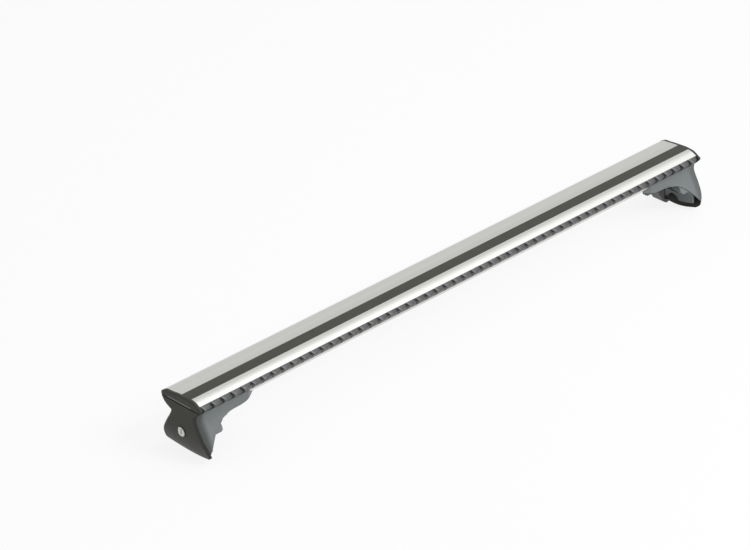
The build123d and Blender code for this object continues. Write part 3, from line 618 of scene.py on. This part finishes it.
def evaluated_piece(name, tree, values, place):
    """Plain mesh piece made by a Geometry Nodes tree, moved to a place in its mesh."""
    carrier = add_object(name + "_carrier", bpy.data.meshes.new(name + "_carrier"))
    modifier = carrier.modifiers.new("shape", "NODES")
    modifier.node_group = tree
    for item in tree.interface.items_tree:
        if item.in_out == "INPUT":
            modifier[item.identifier] = values[item.name]
    evaluated = carrier.evaluated_get(bpy.context.evaluated_depsgraph_get())
    mesh = bpy.data.meshes.new_from_object(evaluated)
    bpy.data.objects.remove(carrier)
    mesh.name = name
    mesh.transform(Matrix.Translation(place))
    return add_object(name, mesh)


# Knurl on the clamp bolts' heads


def turned_to_bar(tree, geometry):
    """A shape whose axis is Z, turned so that its axis is X."""
    turn = tree.nodes.new("GeometryNodeTransform")
    turn.inputs["Rotation"].default_value = (0, math.pi / 2, 0)
    tree.links.new(geometry, turn.inputs["Geometry"])
    return turn.outputs[0]


def knurl_tree():
    """Geometry Nodes tree: ridges round a head whose axis is X."""
    inputs = (
        ("Count", "NodeSocketInt"),
        ("Radius", "NodeSocketFloat"),
        ("Length", "NodeSocketFloat"),
        ("Ridge", "NodeSocketFloat"),
        ("Finish", "NodeSocketMaterial"),
    )
    tree, start, end = new_shape_tree("head_knurl", inputs)
    circle = tree.nodes.new("GeometryNodeMeshCircle")
    tree.links.new(start["Count"], circle.inputs["Vertices"])
    tree.links.new(start["Radius"], circle.inputs["Radius"])
    ridge = tree.nodes.new("GeometryNodeMeshCylinder")
    ridge.inputs["Vertices"].default_value = KNURL_SIDES
    tree.links.new(start["Ridge"], ridge.inputs["Radius"])
    tree.links.new(start["Length"], ridge.inputs["Depth"])
    points = turned_to_bar(tree, circle.outputs[0])
    original = turned_to_bar(tree, ridge.outputs["Mesh"])
    copies_on_points(tree, points, original, start["Finish"], end["Geometry"])
    return tree


def knurl_bolt_heads():
    """Ridges round both bolts' heads."""
    tree = knurl_tree()
    for side, sign in SIDES.items():
        low, high = (Vector(corner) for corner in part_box(f"clamp_bolt_{side}"))
        head_end = high.x if sign > 0 else low.x
        middle = (head_end - sign * HEAD_LENGTH / 2, (low.y + high.y) / 2, (low.z + high.z) / 2)
        values = {
            "Count": KNURL_COUNT,
            "Radius": (high.z - low.z) / 2,
            "Length": HEAD_LENGTH - 2 * KNURL_MARGIN,
            "Ridge": KNURL_RIDGE,
            "Finish": material_of("steel"),
        }
        knurl = evaluated_piece(f"bolt_head_knurl_{side}", tree, values, middle)
        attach(knurl, f"bolt_{side}")


knurl_bolt_heads()


# Ribbed strip with slanted notches


def smooth_run(points, directions, steps):
    """Points of a smooth curve through a few points, with the directions at its two ends."""
    slopes = [Vector(directions[0])]
    for before, after in zip(points, points[2:]):
        slopes.append((Vector(after) - Vector(before)).normalized())
    slopes.append(Vector(directions[1]))
    run = []
    for (start, end), (leave, arrive) in zip(zip(points, points[1:]), zip(slopes, slopes[1:])):
        start, end = Vector(start).to_3d(), Vector(end).to_3d()
        reach = (end - start).length / 3
        handles = (start + leave.to_3d() * reach, end - arrive.to_3d() * reach)
        run += [tuple(point)[:2] for point in interpolate_bezier(start, *handles, end, steps)[:-1]]
    run.append(tuple(points[-1]))
    return run


def rib_section(depth):
    """Section of the leading edge from top to bottom, as (Y, Z), set in by a depth."""
    slant = depth * math.sqrt(0.5)
    points = (
        RIB_TOP,
        (RIB_FRONT[0] + depth, RIB_FRONT[1]),
        (RIB_LOWER[0] + slant, RIB_LOWER[1] + slant),
        RIB_BOTTOM,
    )
    return smooth_run(points, RIB_DIRECTIONS, RIB_STEPS)


def one_rib():
    """One closed rib between two slanted notches, that starts at the middle of the first one."""
    vertices = []
    for share, depth in RIB_RINGS:
        for y, z in rib_section(depth):
            vertices.append((share * NOTCH_PITCH - NOTCH_SLANT * (z - RIB_MIDDLE) / RIB_HEIGHT, y, z))
    count = len(vertices) // len(RIB_RINGS)
    faces = [tuple(range(count)), tuple(reversed(range(len(vertices) - count, len(vertices))))]
    for ring in range(len(RIB_RINGS) - 1):
        for step in range(count):
            near, far = ring * count + step, ring * count + (step + 1) % count
            faces.append((near, near + count, far + count, far))
    return new_piece("one_rib", vertices, faces)


def repeat_tree():
    """Geometry Nodes tree: a row of copies of an object."""
    inputs = (
        ("Piece", "NodeSocketObject"),
        ("Count", "NodeSocketInt"),
        ("Start", "NodeSocketVector"),
        ("Pitch", "NodeSocketVector"),
        ("Finish", "NodeSocketMaterial"),
    )
    tree, start, end = new_shape_tree("row_along_bar", inputs)
    row = tree.nodes.new("GeometryNodeMeshLine")
    tree.links.new(start["Count"], row.inputs["Count"])
    tree.links.new(start["Start"], row.inputs["Start Location"])
    tree.links.new(start["Pitch"], row.inputs["Offset"])
    piece = tree.nodes.new("GeometryNodeObjectInfo")
    tree.links.new(start["Piece"], piece.inputs["Object"])
    copies_on_points(tree, row.outputs[0], piece.outputs["Geometry"], start["Finish"], end["Geometry"])
    return tree


def cut_ends(mesh, half):
    """Cut a closed mesh off at X = -half and half, and close the cuts."""
    shape = bmesh.new()
    shape.from_mesh(mesh)
    for side in SIDES.values():
        geometry = shape.verts[:] + shape.edges[:] + shape.faces[:]
        cut = bmesh.ops.bisect_plane(
            shape, geom=geometry, plane_co=(side * half, 0, 0), plane_no=(side, 0, 0), clear_outer=True
        )
        rims = [part for part in cut["geom_cut"] if isinstance(part, bmesh.types.BMEdge)]
        bmesh.ops.holes_fill(shape, edges=rims)
    turn_outwards(shape, mesh)


def slanted_ribs():
    """The leading edge rubber with its deep slanted notches, in place of the node's straight ones."""
    rib = one_rib()
    values = {
        "Piece": rib,
        "Count": math.ceil((2 * BAR_HALF + NOTCH_SLANT) / NOTCH_PITCH) + SPARE_RIBS,
        "Start": ((FIRST_NOTCH - NOTCH_PITCH - BAR_HALF) * MILLIMETRE, 0, 0),
        "Pitch": (NOTCH_PITCH * MILLIMETRE, 0, 0),
        "Finish": material_of("leading_edge_strip"),
    }
    ribs = evaluated_piece("slanted_ribs", repeat_tree(), values, (0, 0, 0))
    bpy.data.objects.remove(rib)
    cut_ends(ribs.data, BAR_HALF * MILLIMETRE)
    for face in ribs.data.polygons:
        face.use_smooth = True
    ribs.data.set_sharp_from_angle(angle=math.radians(SHARP_ANGLE))
    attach(ribs, "bar_and_feet")
    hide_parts("leading_edge_strip")


slanted_ribs()


# Painted highlight: a pale strip along the top of each door, over the hinge's barrel


def hinge_highlight_strip(side):
    """Thin pale arc over one barrel that paints the highlight of its top edge, in steps of four points: inner
    and outer, each at both ends in Y.
    """
    inner = BARREL_RADIUS + HIGHLIGHT_STRIP_GAP
    vertices = []
    for step in range(HIGHLIGHT_STRIP_STEPS + 1):
        turn = math.radians(HIGHLIGHT_STRIP_ARC * step / HIGHLIGHT_STRIP_STEPS)
        for radius in (inner, inner + HIGHLIGHT_STRIP_THICKNESS):
            x = SIDES[side] * (BAR_HALF + BARREL_OUT + radius * math.cos(turn))
            for y in BARREL_SPAN:
                vertices.append((x, y, BARREL_LEVEL + radius * math.sin(turn)))
    last = 4 * HIGHLIGHT_STRIP_STEPS
    faces = [(0, 1, 3, 2), (last, last + 2, last + 3, last + 1)]
    for near in range(0, last, 4):
        for one, two in ((0, 1), (1, 3), (3, 2), (2, 0)):
            faces.append((near + one, near + two, near + two + 4, near + one + 4))
    sleeve = new_piece(f"hinge_sleeve_{side}", vertices, faces)
    shape = bmesh.new()
    shape.from_mesh(sleeve.data)
    turn_outwards(shape, sleeve.data)
    sleeve.data.materials.append(material_of("sleeve"))
    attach(sleeve, f"door_{side}")


for side in SIDES:
    hinge_highlight_strip(side)


# Floor, light and camera


def seen_directly(tree):
    """1 for camera, glossy and transmission rays, and 0 for light that falls on the object."""
    path = tree.nodes.new("ShaderNodeLightPath")
    reflected = calculate(tree, "MAXIMUM", path.outputs["Is Glossy Ray"], path.outputs["Is Transmission Ray"])
    return calculate(tree, "MAXIMUM", path.outputs["Is Camera Ray"], reflected)


def floor_material():
    """White that glows where it is seen, so that only a faint shadow stays, and is greyer as a light."""
    material = bpy.data.materials.new("floor_white")
    material.use_nodes = True
    tree = material.node_tree
    shader = tree.nodes["Principled BSDF"]
    shader.inputs["Roughness"].default_value = FLOOR_ROUGHNESS
    shader.inputs["Specular IOR Level"].default_value = FLOOR_SPECULAR
    seen = seen_directly(tree)
    white = calculate(tree, "MULTIPLY_ADD", seen, FLOOR_WHITE - FLOOR_BOUNCE, FLOOR_BOUNCE)
    tree.links.new(white, shader.inputs["Base Color"])
    glow = tree.nodes.new("ShaderNodeEmission")
    glow.inputs["Color"].default_value = WHITE
    glow.inputs["Strength"].default_value = 1.0
    blend = tree.nodes.new("ShaderNodeMixShader")
    tree.links.new(calculate(tree, "MULTIPLY", seen, FLOOR_GLOW), blend.inputs["Fac"])
    tree.links.new(shader.outputs[0], blend.inputs[1])
    tree.links.new(glow.outputs[0], blend.inputs[2])
    tree.links.new(blend.outputs[0], tree.nodes["Material Output"].inputs["Surface"])
    return material


def lay_floor():
    """Square pale floor under the feet."""
    half = FLOOR_SIZE / 2
    mesh = bpy.data.meshes.new("floor")
    corners = [(-half, -half, 0), (half, -half, 0), (half, half, 0), (-half, half, 0)]
    mesh.from_pydata(corners, [], [(0, 1, 2, 3)])
    mesh.materials.append(floor_material())
    floor = add_object("floor", mesh)


def light_world():
    """Even pale surroundings: white to the camera, greyer in reflections and greyer again as a light."""
    world = bpy.data.worlds.new("studio")
    bpy.context.scene.world = world
    world.use_nodes = True
    tree = world.node_tree
    background = tree.nodes["Background"]
    background.inputs["Color"].default_value = WHITE
    camera_ray = tree.nodes.new("ShaderNodeLightPath").outputs["Is Camera Ray"]
    base = calculate(tree, "MULTIPLY_ADD", seen_directly(tree), WORLD_REFLECTED - WORLD_LIGHT, WORLD_LIGHT)
    strength = calculate(tree, "MULTIPLY_ADD", camera_ray, WORLD_SEEN - WORLD_REFLECTED, base)
    tree.links.new(strength, background.inputs["Strength"])


def add_softbox(name, place, target, size, power):
    """Square area lamp that faces a point."""
    lamp = bpy.data.lights.new(name, "AREA")
    lamp.size = size
    lamp.energy = power
    light = add_object(name, lamp)
    light.location = place
    light.rotation_euler = (Vector(target) - Vector(place)).to_track_quat("-Z", "Y").to_euler()


def place_camera():
    """Camera fitted to the photograph from the bar's long edges and its ends."""
    lens = bpy.data.cameras.new("photo_camera")
    lens.sensor_fit = "HORIZONTAL"
    lens.sensor_width = SENSOR
    lens.lens = FOCAL_PIXELS / PHOTO_WIDTH * SENSOR
    lens.clip_end = CLIP_END
    camera = add_object("photo_camera", lens)
    axes = Matrix((CAMERA_RIGHT, CAMERA_UP, CAMERA_BACK)).transposed().to_4x4()
    camera.matrix_world = Matrix.Translation(EYE) @ axes
    bpy.context.scene.camera = camera


lay_floor()
light_world()
for softbox in SOFTBOXES:
    add_softbox(*softbox)
place_camera()
bpy.context.scene.view_settings.view_transform = "Standard"
